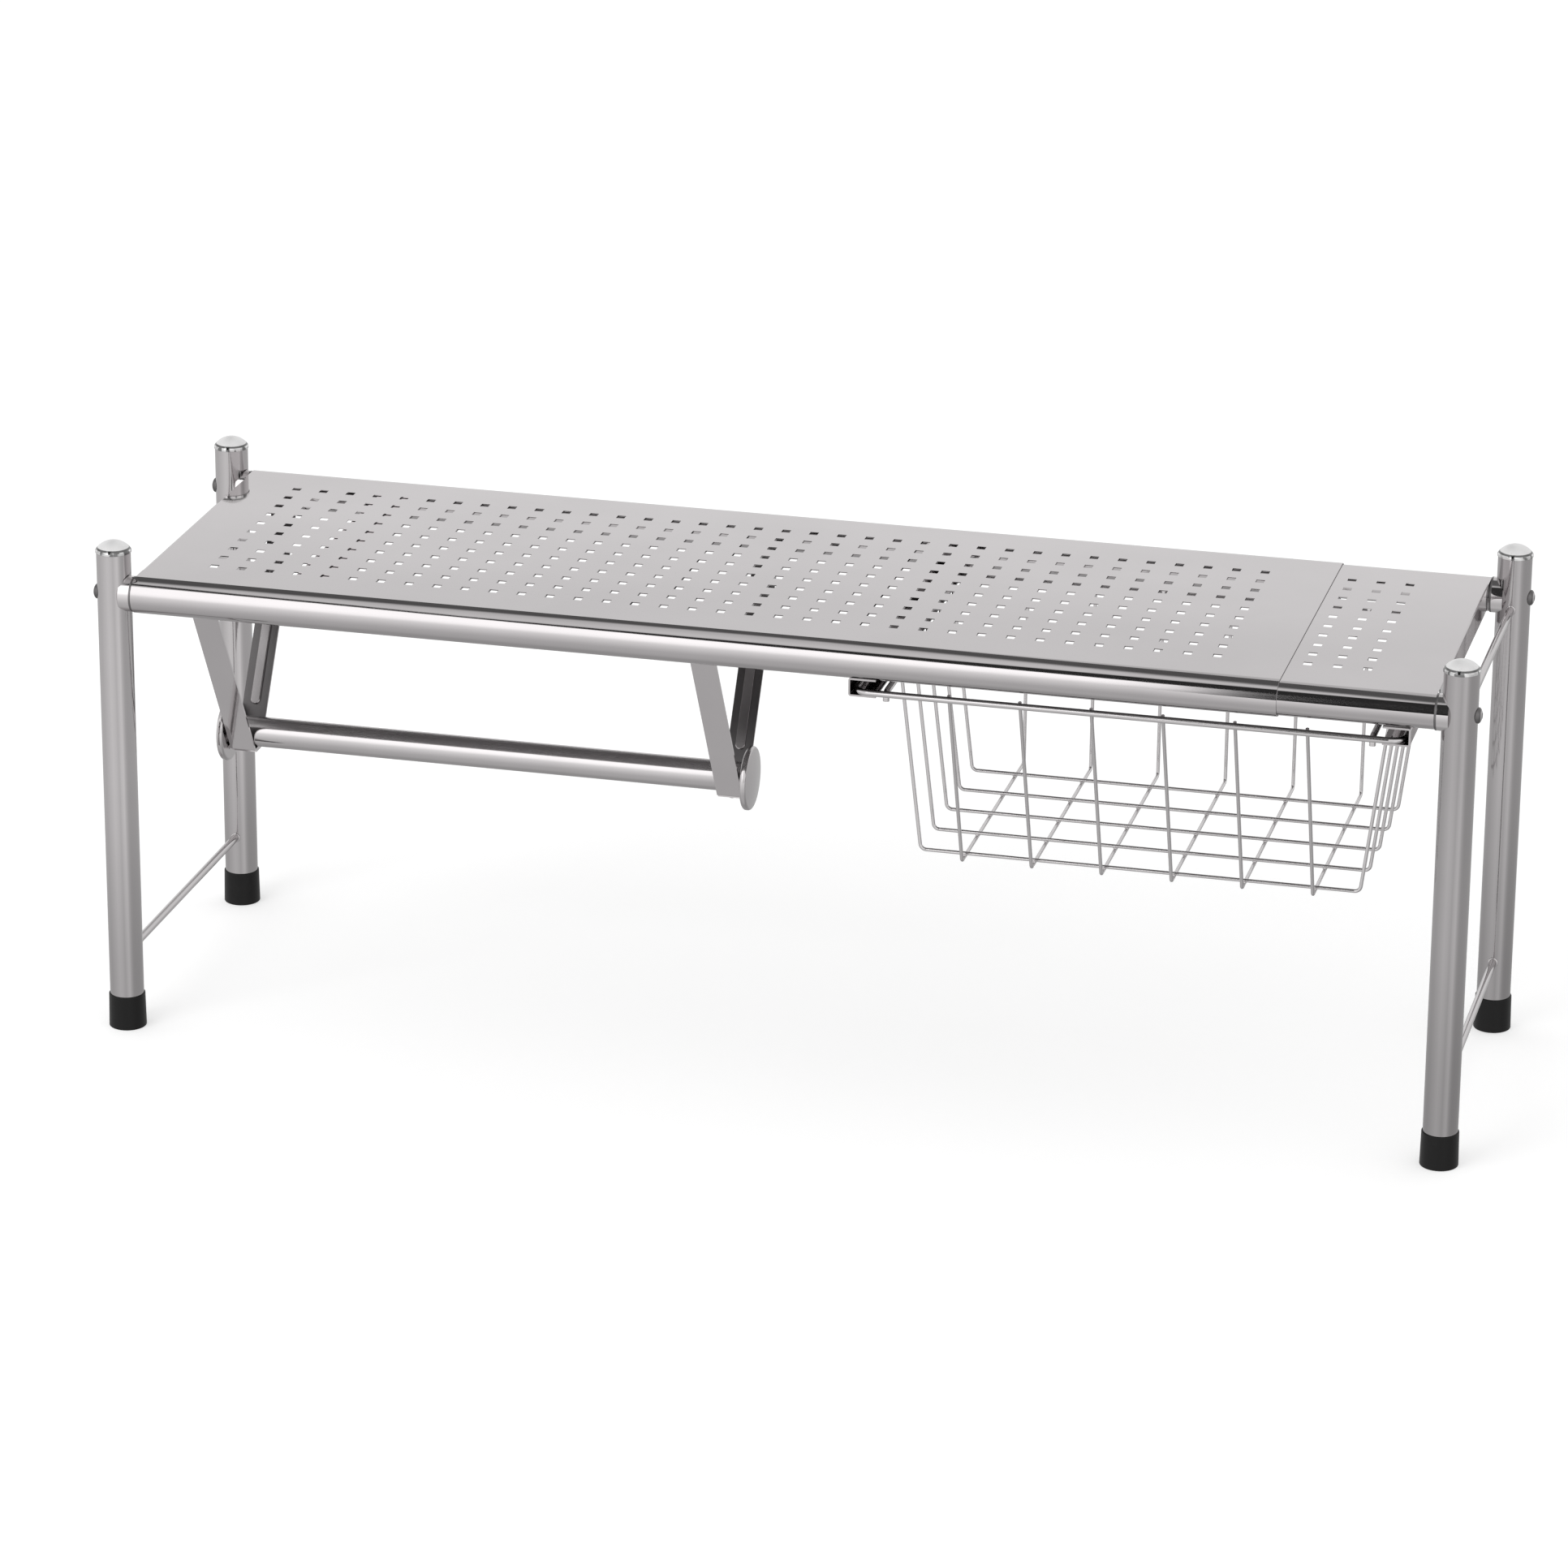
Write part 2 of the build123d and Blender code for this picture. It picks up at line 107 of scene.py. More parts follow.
# The same on both sides of the strip that holds the gap and the dark panel.
OVER_THE_TOP_ASIDE = (
    (0.0, 0.8), (0.1, 1.0), (0.3, 1.1), (0.36, 0.7), (0.5, 0.75), (0.62, 0.55), (0.72, 0.6),
    (0.8, 0.75), (0.88, 0.9), (1.0, 0.85),
)

# The same below the horizon, once round the object from its back, with the front at 0.5.
ROUND_ABOUT = (
    (0.0, 0.62), (0.256, 0.75), (0.353, 0.87), (0.43, 0.98), (0.486, 0.93), (0.539, 0.82),
    (0.583, 0.96), (0.617, 1.0), (0.653, 0.78), (0.689, 0.64), (0.725, 0.6), (1.0, 0.62),
)

# The same below the horizon, from level to straight down.
DOWNWARD = (
    (0.0, 1.1), (0.14, 1.0), (0.34, 0.87), (0.53, 0.75), (0.7, 0.65), (0.83, 0.62), (1.0, 0.62),
)


class ShelfFinish(bpy.types.PropertyGroup):
    """Colours and polish of the shelf's materials."""

    deck_color: FloatVectorProperty(
        name="Deck", description="Steel of the perforated decks", subtype="COLOR",
        default=(0.59, 0.566, 0.572),
    )
    deck_roughness: FloatProperty(
        name="Deck roughness", description="Satin of the decks", default=0.05
    )
    tube_color: FloatVectorProperty(
        name="Legs", description="Plated legs, collars and rods", subtype="COLOR",
        default=(0.605, 0.583, 0.588),
    )
    tube_roughness: FloatProperty(
        name="Leg roughness", description="Polish of the legs", default=0.1
    )
    cap_color: FloatVectorProperty(
        name="Caps", description="Chrome of the legs' caps", subtype="COLOR",
        default=(0.93, 0.925, 0.925),
    )
    cap_roughness: FloatProperty(
        name="Cap roughness", description="Satin of the caps' crowns", default=0.4
    )
    cap_shoulder: FloatProperty(
        name="Cap shoulder", description="Height of the line round the caps' crowns",
        unit="LENGTH", default=0.282,
    )
    wire_color: FloatVectorProperty(
        name="Wires", description="Wires of the basket", subtype="COLOR",
        default=(0.69, 0.67, 0.675),
    )
    wire_roughness: FloatProperty(
        name="Wire roughness", description="Polish of the wires", default=0.16
    )
    rubber_color: FloatVectorProperty(
        name="Rubber", description="Rubber of the feet", subtype="COLOR",
        default=(0.0075, 0.0073, 0.0073),
    )
    rubber_roughness: FloatProperty(
        name="Rubber roughness", description="Sheen of the feet", default=0.42
    )


class ShelfWelds(bpy.types.PropertyGroup):
    """Sizes of the welds and of the sockets in the bolts' heads."""

    nugget: FloatProperty(
        name="Nugget", description="Radius of a wire's weld", unit="LENGTH", default=0.0013
    )
    bead: FloatProperty(
        name="Bead", description="Radius of the bead round a rod's end", unit="LENGTH",
        default=0.0006,
    )
    front_lean: FloatProperty(
        name="Front lean", description="Lean of the basket's front", subtype="ANGLE",
        default=math.radians(20.2),
    )
    rear_lean: FloatProperty(
        name="Rear lean", description="Lean of the basket's back", subtype="ANGLE",
        default=math.radians(0.6),
    )
    side_lean: FloatProperty(
        name="Side lean", description="Lean of the basket's sides", subtype="ANGLE",
        default=math.radians(6.9),
    )
    socket: FloatProperty(
        name="Socket", description="Radius of the bolts' sockets", unit="LENGTH", default=0.0015
    )
    socket_depth: FloatProperty(
        name="Socket depth", description="Depth of the bolts' sockets", unit="LENGTH",
        default=0.0013,
    )


class ShelfStage(bpy.types.PropertyGroup):
    """Camera and floor of the studio."""

    camera_place: FloatVectorProperty(
        name="Camera", description="Place of the camera", subtype="TRANSLATION", unit="LENGTH",
        default=(0.77873, -3.17061, 1.36096),
    )
    camera_azimuth: FloatProperty(
        name="Azimuth", description="Turn of the view", subtype="ANGLE",
        default=math.radians(14.085),
    )
    camera_elevation: FloatProperty(
        name="Elevation", description="Height of the view", subtype="ANGLE",
        default=math.radians(20.433),
    )
    camera_roll: FloatProperty(
        name="Roll", description="Tilt of the picture", subtype="ANGLE",
        default=math.radians(0.439),
    )
    lens: FloatProperty(name="Lens", description="Focal length in millimetres", default=144.1)
    floor_size: FloatProperty(
        name="Floor", description="Side of the floor", unit="LENGTH", default=14.0
    )


def corners(node):
    """Low and high corner of a node's box."""
    return [Vector(corner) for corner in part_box(node)]


def middle(node):
    low, high = corners(node)
    return (low + high) / 2


class Field:
    """A number or colour that varies over a surface, with arithmetic that adds Math nodes."""

    def __init__(self, sheet, socket):
        self.sheet = sheet
        self.socket = socket

    def _math(self, operation, *values):
        return self.sheet.node("ShaderNodeMath", {"operation": operation}, dict(enumerate(values)))

    def __add__(self, other):
        return self._math("ADD", self, other)

    def __radd__(self, other):
        return self._math("ADD", other, self)

    def __sub__(self, other):
        return self._math("SUBTRACT", self, other)

    def __rsub__(self, other):
        return self._math("SUBTRACT", other, self)

    def __mul__(self, other):
        return self._math("MULTIPLY", self, other)

    def __rmul__(self, other):
        return self._math("MULTIPLY", other, self)

    def __truediv__(self, other):
        return self._math("DIVIDE", self, other)

    def at_least(self, other):
        return self._math("MAXIMUM", self, other)

    def size(self):
        """The number without its sign."""
        return self._math("ABSOLUTE", self)

    def smooth(self, low, high):
        """0 below low, 1 above high and a soft step between them."""
        settings = {"interpolation_type": "SMOOTHSTEP"}
        inputs = {"Value": self, "From Min": low, "From Max": high}
        return self.sheet.node("ShaderNodeMapRange", settings, inputs)


class Sheet:
    """One node tree, emptied and then filled by node()."""

    def __init__(self, tree):
        self.tree = tree
        tree.nodes.clear()

    def node(self, kind, settings=None, inputs=None, output=0):
        """Adds a node with its settings and the values or links of its sockets."""
        made = self.tree.nodes.new(kind)
        for name, value in (settings or {}).items():
            if name == "stops":
                self._set_stops(made.color_ramp, value)
            else:
                setattr(made, name, value)
        for name, value in (inputs or {}).items():
            if isinstance(value, Field):
                self.tree.links.new(value.socket, made.inputs[name])
            else:
                made.inputs[name].default_value = value
        return Field(self, made.outputs[output]) if made.outputs else made

    def _set_stops(self, ramp, stops):
        while len(ramp.elements) > 1:
            ramp.elements.remove(ramp.elements[-1])
        for index, (place, color) in enumerate(stops):
            stop = ramp.elements[0] if index == 0 else ramp.elements.new(place)
            stop.position = place
            stop.color = color

    def ramp(self, value, stops):
        """A grey that follows value through (place, brightness) stops."""
        greys = [(place, (grey, grey, grey, 1)) for place, grey in stops]
        return self.node("ShaderNodeValToRGB", {"stops": greys}, {"Fac": value})

    def place(self, scale=(1, 1, 1)):
        """Where the point lies on the object, in metres times the scale."""
        coordinates = self.node("ShaderNodeTexCoord", output="Object")
        return self.node("ShaderNodeMapping", None, {"Vector": coordinates, "Scale": scale})

    def noise(self, place, scale, detail=3.0, roughness=0.5):
        inputs = {"Vector": place, "Scale": scale, "Detail": detail, "Roughness": roughness}
        return self.node("ShaderNodeTexNoise", None, inputs)

    def bump(self, height, depth, under=None):
        """Surface relief of the given depth, over another relief if there is one."""
        inputs = {"Height": height, "Strength": 1.0, "Distance": depth}
        if under:
            inputs["Normal"] = under
        return self.node("ShaderNodeBump", None, inputs)

    def part(self, vector, index):
        return self.node("ShaderNodeSeparateXYZ", None, {"Vector": vector}, output=index)

    def facing(self, index):
        """1 where the surface faces along that axis, -1 where it faces the other way."""
        return self.part(self.node("ShaderNodeTexCoord", output="Normal"), index)

    def angle(self, rise, run):
        """Degrees from the run's direction towards the rise's."""
        turn = self.node("ShaderNodeMath", {"operation": "ARCTAN2"}, {0: rise, 1: run})
        return turn * (180 / math.pi)

    def tint(self, amount, first, second):
        """A colour between two, each a field or three numbers."""
        pair = (color if isinstance(color, Field) else (*color, 1) for color in (first, second))
        inputs = {"Factor": amount, **dict(zip((FIRST_COLOR, SECOND_COLOR), pair))}
        return self.node("ShaderNodeMix", {"data_type": "RGBA"}, inputs, output=2)

    def principled(self, inputs):
        """Ends a material in its Principled shader."""
        shader = self.node("ShaderNodeBsdfPrincipled", None, inputs)
        self.node("ShaderNodeOutputMaterial", None, {"Surface": shader})


def shaded(color, share):
    return [share * channel for channel in color]


def new_material(name):
    material = bpy.data.materials.new(name)
    material.use_nodes = True
    return material, Sheet(material.node_tree)


def steel(name, color, roughness, grain, painted_shade=None, shade=0.3, satin=0.25):
    """Polished steel with draw lines along the grain, a slow wave and faint smears.

    The mask of painted shade, a function of the sheet, gives 1 where the steel is darkened to the
    share shade and roughened by satin.
    """
    material, sheet = new_material(name)
    lines = sheet.noise(sheet.place(grain), scale=1.0, detail=2.0)
    smears = sheet.noise(sheet.place(), scale=14.0, detail=4.0, roughness=0.55)
    specks = sheet.noise(sheet.place(), scale=900.0, detail=2.0)
    wave = sheet.noise(sheet.place(), scale=5.0, detail=1.0)
    wear = smears.smooth(0.35, 0.75) * SMEAR_SHARE + specks * SPECK_SHARE
    worn_and_shaded = sheet.tint(wear, color, shaded(color, WORN_SHADE))
    polish = roughness + (smears - 0.5) * POLISH_RANGE + (lines - 0.5) * POLISH_RANGE
    # Painted shade: where the mask is 1, the steel is darkened and roughened.
    if painted_shade:
        amount = painted_shade(sheet)
        worn_and_shaded = sheet.tint(amount, worn_and_shaded, shaded(color, shade))
        polish = polish + amount * satin
    relief = sheet.bump(lines, DRAW_LINE_DEPTH, under=sheet.bump(wave, WAVE_DEPTH))
    sheet.principled({"Base Color": worn_and_shaded, "Metallic": 1.0, "Roughness": polish, "Normal": relief})
    return material


def underside_shade(sheet):
    """Painted shade where a deck faces straight down."""
    downward = 0 - sheet.facing(2)
    return downward.smooth(0.9, 0.985)


def lower_end_shade(sheet):
    """Painted shade on the legs below the middle, growing darker downwards."""
    top, bottom = 0.16, 0.02
    below = top - sheet.part(sheet.place(), 2)
    return below.smooth(0.0, top - bottom)


def bar_top_shade(sheet):
    """The bar's top, rougher than the rest of it and a little darker with painted shade."""
    return sheet.facing(2).smooth(0.5, 0.62)


def rim_top_shade(sheet):
    """The top of the basket's rim, darkened with painted shade where it faces the deck above."""
    return sheet.facing(2).smooth(0.4, 0.65)


def head_shade(sheet):
    """Painted shade at the rim and in the socket of the bolts' heads, by the square of the way
    from their axes.
    """
    place = sheet.place()
    out = sheet.part(place, 1).size() - middle("right_rear_leg").y
    up = sheet.part(place, 2) - middle("right_leg_bolts").z
    square = out * out + up * up
    rim = square.smooth(*(radius ** 2 for radius in RIM_EDGE))
    socket = 1 - square.smooth(*(radius ** 2 for radius in SOCKET_EDGE))
    return rim + socket


def collar_seam_shade(sheet):
    """Painted shade in the joint between a collar and the end of its deck's roll."""
    roll_end = corners("inner_deck")[1].x
    past_roll = sheet.part(sheet.place(), 0).size() - roll_end
    seam_edge = (0.0011, 0.0015)
    return 1 - past_roll.smooth(*seam_edge)


def rail_web_shade(sheet):
    """Painted shade on the webs of the rails' channels, on the side of the basket."""
    left, right = corners("left_basket_rail")[0].x, corners("right_basket_rail")[1].x
    from_middle = (sheet.part(sheet.place(), 0) - (left + right) / 2).size()
    into_web = (right - left) / 2 - from_middle
    inner_side = (0.0003, 0.0008)
    return sheet.facing(0).size().smooth(0.8, 0.95) * into_web.smooth(*inner_side)


def bracket_inner_shade(sheet):
    """Painted shade on the brackets' faces towards the bar, with less of it on the rib's crest as
    a painted highlight.
    """
    place = sheet.place()
    away = sheet.part(place, 1)
    out_of_face = sheet.part(place, 2) * math.sin(ARM_LEAN) - away * math.cos(ARM_LEAN)
    rib_side = (0.0655, 0.0661)
    crest_lit_share = 0.35
    crest = out_of_face.smooth(*rib_side) * away.smooth(0.0, 0.005)
    return sheet.facing(2).smooth(0.2, 0.45) * (1 - crest * crest_lit_share)


def cap_finish(name, color, roughness, shoulder):
    """Cap with a satin crown above the shoulder, then a painted dark reflection line and a band
    with painted dark glints.
    """
    material, sheet = new_material(name)
    crown_edge, line_edge, seam_edge = (0.0002, 0.0005), (-0.0007, -0.0004), (-0.0026, -0.0022)
    band_roughness = 0.08
    above = sheet.part(sheet.place(), 2) - shoulder
    smears = sheet.noise(sheet.place(), scale=60.0)
    crown = above.smooth(*crown_edge)
    # Painted reflection: the dark line under the crown and the dark glints in the band below it.
    line = above.smooth(*line_edge) * (1 - crown)
    painted_glints = sheet.noise(sheet.place((1, 1, 0.3)), scale=260.0, detail=1.0)
    painted_glints = painted_glints.smooth(0.5, 0.58) * (1 - crown)
    seam = 1 - above.smooth(*seam_edge)
    dark = (line * 0.85).at_least(painted_glints * 0.8).at_least(seam * 0.85) + smears * 0.05
    pale = sheet.tint(crown, shaded(color, 0.9), color)
    polish = band_roughness + crown * (roughness - band_roughness) + smears * 0.04
    sheet.principled({
        "Base Color": sheet.tint(dark, pale, shaded(color, 0.12)),
        "Metallic": 1 - crown * 0.65,
        "Roughness": polish,
        "Normal": sheet.bump(smears, GRAIN_DEPTH),
    })
    return material


def rubber(name, color, roughness):
    """Moulded rubber with a fine grain and dusty, slightly paler patches."""
    material, sheet = new_material(name)
    grain = sheet.noise(sheet.place(), scale=1400.0)
    dust = sheet.noise(sheet.place(), scale=60.0, detail=5.0, roughness=0.6)
    sheet.principled({
        "Base Color": sheet.tint(dust.smooth(0.5, 0.8), color, shaded(color, 2)),
        "Roughness": roughness + (dust - 0.5) * 0.2,
        "Specular IOR Level": 0.25,
        "Normal": sheet.bump(grain, GRAIN_DEPTH),
    })
    return material


def add_piece(name, bm, material, body):
    """Makes an object of the mesh that rides on a body."""
    bmesh.ops.recalc_face_normals(bm, faces=bm.faces)
    for face in bm.faces:
        face.smooth = True
    mesh = bpy.data.meshes.new(name)
    bm.to_mesh(mesh)
    bm.free()
    mesh.materials.append(material)
    piece = bpy.data.objects.new(name, mesh)
    bpy.context.scene.collection.objects.link(piece)
    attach(piece, body)
    return piece


def add_nugget(bm, place, radius, flatness=0.75):
    """A squashed bead of weld."""
    made = bmesh.ops.create_icosphere(bm, subdivisions=2, radius=radius)
    bmesh.ops.scale(bm, vec=(1, 1, flatness), verts=made["verts"])
    bmesh.ops.translate(bm, vec=place, verts=made["verts"])


def add_bead_ring(bm, centre, ring_radius, bead_radius):
    """A ring of weld round a rod that runs along Y."""
    made = bmesh.ops.create_circle(bm, segments=10, radius=bead_radius)
    edges = list({edge for vert in made["verts"] for edge in vert.link_edges})
    out = Vector(centre) + Vector((ring_radius, 0, 0))
    bmesh.ops.translate(bm, vec=out, verts=made["verts"])
    bmesh.ops.spin(
        bm, geom=made["verts"] + edges, cent=centre, axis=(0, 1, 0), angle=math.tau, steps=24,
        use_merge=True,
    )


def dress(names, material):
    """Gives CAD nodes a finish."""
    for name in names:
        mesh = NODES[name].data
        mesh.materials.clear()
        mesh.materials.append(material)


def nodes_with(*words):
    return sorted(name for name in NODES if any(word in name for word in words))


class ShelfOperator:
    bl_options = {"REGISTER", "UNDO"}


class SHELF_OT_decks(ShelfOperator, bpy.types.Operator):
    """Finish the two perforated decks"""

    bl_idname = "shelf.decks"
    bl_label = "Decks"

    def execute(self, context):
        finish = context.scene.shelf_finish
        # Painted shade darkens the decks' undersides.
        deck = steel("deck_steel", finish.deck_color, finish.deck_roughness,
                     grain=(20, 1600, 1600), painted_shade=underside_shade, shade=0.52)
        dress(nodes_with("_deck"), deck)
        return {"FINISHED"}


class SHELF_OT_legs(ShelfOperator, bpy.types.Operator):
    """Finish the legs with their caps, collars and cross rods"""

    bl_idname = "shelf.legs"
    bl_label = "Legs and rods"

    def execute(self, context):
        finish = context.scene.shelf_finish
        color, roughness = finish.tube_color, finish.tube_roughness
        # Painted shade: both pairs of legs darken towards the foot, and the right legs are a fifth
        # darker overall.
        left = steel("left_leg_steel", color, roughness,
                     grain=(1500, 1500, 25), painted_shade=lower_end_shade, shade=0.76, satin=0.0)
        right = steel("right_leg_shaded_steel", shaded(color, 0.8), roughness,
                      grain=(1500, 1500, 25), painted_shade=lower_end_shade, shade=0.8, satin=0.0)
        # Painted shade darkens the collars at their joint with the rolls.
        collar = steel("collar_chrome", shaded(color, 1.15), roughness * 0.5,
                       grain=(900, 900, 900), painted_shade=collar_seam_shade)
        cap = cap_finish("cap_chrome", finish.cap_color, finish.cap_roughness,
                         finish.cap_shoulder)
        rod = steel("rod_steel", color, roughness, grain=(1500, 25, 1500))
        dress(["left_front_leg", "left_rear_leg"], left)
        dress(["right_front_leg", "right_rear_leg"], right)
        dress(nodes_with("_cap"), cap)
        dress(nodes_with("_collar"), collar)
        dress(nodes_with("_lower_rod", "_upper_rod"), rod)
        return {"FINISHED"}


class SHELF_OT_rod_welds(ShelfOperator, bpy.types.Operator):
    """Add the beads that join the cross rods to the legs"""

    bl_idname = "shelf.rod_welds"
    bl_label = "Rod welds"

    def execute(self, context):
        finish, welds = context.scene.shelf_finish, context.scene.shelf_welds
        bead = steel("bead_steel", finish.tube_color, finish.wire_roughness,
                     grain=(900, 900, 900))
        for end in ("left", "right"):
            bm = bmesh.new()
            for rod in (f"{end}_lower_rod", f"{end}_upper_rod"):
                low, high = corners(rod)
                radius = (high.z - low.z) / 2
                for y in (low.y + welds.bead / 2, high.y - welds.bead / 2):
                    centre = ((low.x + high.x) / 2, y, (low.z + high.z) / 2)
                    add_bead_ring(bm, centre, radius, welds.bead)
            add_piece(f"{end}_rod_welds", bm, bead, BODY_OF[f"{end}_lower_rod"])
        return {"FINISHED"}


def bolt_profile(top, tip, side, head, welds):
    """Points (x, way out from the axis) from the shank's tip over the head into its socket."""
    dome = ((0.78, 0.46), (0.8, 1.0), (0.4, 1.0), (0.25, 0.86), (0.13, 0.66))
    floor = top - side * welds.socket_depth
    lip = 0.0002
    return [
        (tip, 0),
        (tip, 0.45 * head),
        *((top - side * depth * head, out * head) for depth, out in dome),
        (top - side * 0.03 * head, welds.socket * 1.15),
        (top - side * 0.04 * head, welds.socket),
        (floor, welds.socket * 0.94),
        (floor, welds.socket * 0.5),
        (floor + side * lip, 0),
    ]


class SHELF_OT_bolt_heads(ShelfOperator, bpy.types.Operator):
    """Make the leg bolts with sockets in their domed heads"""

    bl_idname = "shelf.bolt_heads"
    bl_label = "Bolt heads"

    def execute(self, context):
        finish, welds = context.scene.shelf_finish, context.scene.shelf_welds
        # Painted shade darkens the heads' rims and sockets.
        chrome = steel("bolt_chrome", finish.tube_color, finish.tube_roughness,
                       grain=(900, 900, 900), painted_shade=head_shade)
        for end, side in (("left", -1), ("right", 1)):
            node = f"{end}_leg_bolts"
            low, high = corners(node)
            top, tip = (high.x, low.x) if side > 0 else (low.x, high.x)
            head = (high.z - low.z) / 2
            z = (low.z + high.z) / 2
            profile = bolt_profile(top, tip, side, head, welds)
            bm = bmesh.new()
            for leg in (f"{end}_front_leg", f"{end}_rear_leg"):
                y = middle(leg).y
                line = [bm.verts.new((x, y + out, z)) for x, out in profile]
                edges = [bm.edges.new(pair) for pair in zip(line, line[1:])]
                bmesh.ops.spin(
                    bm, geom=line + edges, cent=(0, y, z), axis=(1, 0, 0), angle=math.tau,
                    steps=32, use_merge=True,
                )
            bmesh.ops.remove_doubles(bm, verts=bm.verts, dist=0.000001)
            piece = add_piece(f"{end}_bolt_heads", bm, chrome, BODY_OF[node])
            piece.data.set_sharp_from_angle(angle=math.radians(50))
            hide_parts(node)
        return {"FINISHED"}


class SHELF_OT_feet(ShelfOperator, bpy.types.Operator):
    """Finish the rubber feet"""

    bl_idname = "shelf.feet"
    bl_label = "Feet"

    def execute(self, context):
        finish = context.scene.shelf_finish
        foot = rubber("foot_rubber", finish.rubber_color, finish.rubber_roughness)
        dress(nodes_with("_foot"), foot)
        return {"FINISHED"}


class SHELF_OT_roll_holder(ShelfOperator, bpy.types.Operator):
    """Finish the brackets, their rivets and the paper-roll bar"""

    bl_idname = "shelf.roll_holder"
    bl_label = "Paper-roll holder"

    def execute(self, context):
        finish = context.scene.shelf_finish
        # Painted shade darkens the brackets' inner faces.
        strap = steel("bracket_steel", shaded(finish.deck_color, 1.15), finish.deck_roughness,
                      grain=(1500, 30, 30), painted_shade=bracket_inner_shade, shade=0.22)
        # Painted shade darkens the bar's top a little.
        bar = steel("bar_chrome", finish.tube_color, finish.tube_roughness * 0.7,
                    grain=(25, 1500, 1500), painted_shade=bar_top_shade, shade=0.95, satin=0.2)
        dress(nodes_with("bracket"), strap)
        dress(nodes_with("bar_tube", "bar_disc"), bar)
        return {"FINISHED"}


class SHELF_OT_basket(ShelfOperator, bpy.types.Operator):
    """Finish the basket and the rails that carry it"""

    bl_idname = "shelf.basket"
    bl_label = "Basket and rails"

    def execute(self, context):
        finish = context.scene.shelf_finish
        color, roughness = finish.wire_color, finish.wire_roughness
        wire = steel("wire_steel", color, roughness, grain=(700, 700, 700))
        # Painted shade darkens the top of the rim.
        rim = steel("rim_steel", color, roughness * 0.6,
                    grain=(700, 700, 700), painted_shade=rim_top_shade, shade=0.35, satin=0.1)
        # Painted shade darkens the rails' webs on the side of the basket.
        rail = steel("rail_steel", finish.deck_color, finish.deck_roughness,
                     grain=(1500, 25, 1500), painted_shade=rail_web_shade, shade=0.1)
        dress(nodes_with("_wire_", "side_rod"), wire)
        dress(["basket_rim"], rim)
        dress(nodes_with("basket_rail", "hanger", "rail_rivets"), rail)
        return {"FINISHED"}


def add_rim_nuggets(bm, welds):
    """Welds where the wires' tops lie against the rim and the side rods."""
    low, high = corners("basket_rim")
    rod_radius = (high.z - low.z) / 2
    rim_z = (high.z + low.z) / 2
    for cross in nodes_with("cross_wire"):
        x = middle(cross).x
        front = low.y + rod_radius * (1 + math.cos(welds.front_lean))
        rear = high.y - rod_radius * (1 + math.cos(welds.rear_lean))
        front_z = rim_z + rod_radius * math.sin(welds.front_lean)
        rear_z = rim_z + rod_radius * math.sin(welds.rear_lean)
        add_nugget(bm, (x, front, front_z), welds.nugget)
        add_nugget(bm, (x, rear, rear_z), welds.nugget)
    for rod, side in (("left_side_rod", -1), ("right_side_rod", 1)):
        x = middle(rod).x + side * rod_radius * math.cos(welds.side_lean)
        z = rim_z - rod_radius * math.sin(welds.side_lean)
        for long in nodes_with("long_wire"):
            add_nugget(bm, (x, middle(long).y, z), welds.nugget)


class SHELF_OT_basket_welds(ShelfOperator, bpy.types.Operator):
    """Add the weld nuggets where the basket's wires cross and meet the rods"""

    bl_idname = "shelf.basket_welds"
    bl_label = "Basket welds"

    def execute(self, context):
        finish, welds = context.scene.shelf_finish, context.scene.shelf_welds
        bm = bmesh.new()
        for long in nodes_with("long_wire"):
            for cross in nodes_with("cross_wire"):
                place = (middle(cross).x, middle(long).y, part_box(long)[0][2])
                add_nugget(bm, place, welds.nugget)
        add_rim_nuggets(bm, welds)
        nugget = steel("nugget_steel", finish.wire_color, finish.wire_roughness,
                       grain=(900, 900, 900))
        add_piece("basket_welds", bm, nugget, "basket")
        return {"FINISHED"}


def add_camera(stage):
    data = bpy.data.cameras.new("studio_camera")
    data.lens = stage.lens
    data.sensor_width = 36.0
    data.clip_end = 100.0
    camera = bpy.data.objects.new("studio_camera", data)
    pitch = math.pi / 2 - stage.camera_elevation
    turn = Euler((pitch, 0, stage.camera_azimuth)).to_matrix()
    turn = turn @ Matrix.Rotation(stage.camera_roll, 3, "Z")
    camera.matrix_world = Matrix.Translation(stage.camera_place) @ turn.to_4x4()
    bpy.context.scene.collection.objects.link(camera)
    bpy.context.scene.camera = camera


def floor_material():
    """White to the camera, keeping the shadows."""
    material, sheet = new_material("studio_floor")
    to_camera = sheet.node("ShaderNodeLightPath", output="Is Camera Ray")
    mottle = sheet.noise(sheet.place(), scale=3.0, detail=2.0)
    pale = sheet.tint(mottle, *((grey, grey, grey) for grey in FLOOR_GREYS))
    lit = sheet.node("ShaderNodeBsdfDiffuse", None, {"Color": pale})
    white = {"Color": (1, 1, 1, 1), "Strength": to_camera * FLOOR_GLOW}
    glow = sheet.node("ShaderNodeEmission", None, white)
    shader = sheet.node("ShaderNodeAddShader", None, {0: lit, 1: glow})
    sheet.node("ShaderNodeOutputMaterial", None, {"Surface": shader})
    return material


def add_floor(stage):
    """The floor, left out of what the steel mirrors."""
    mesh = bpy.data.meshes.new("studio_floor")
    bm = bmesh.new()
    bmesh.ops.create_grid(bm, x_segments=1, y_segments=1, size=stage.floor_size / 2)
    bm.to_mesh(mesh)
    bm.free()
    floor = bpy.data.objects.new("studio_floor", mesh)
    mesh.materials.append(floor_material())
    floor.visible_glossy = False
    bpy.context.scene.collection.objects.link(floor)


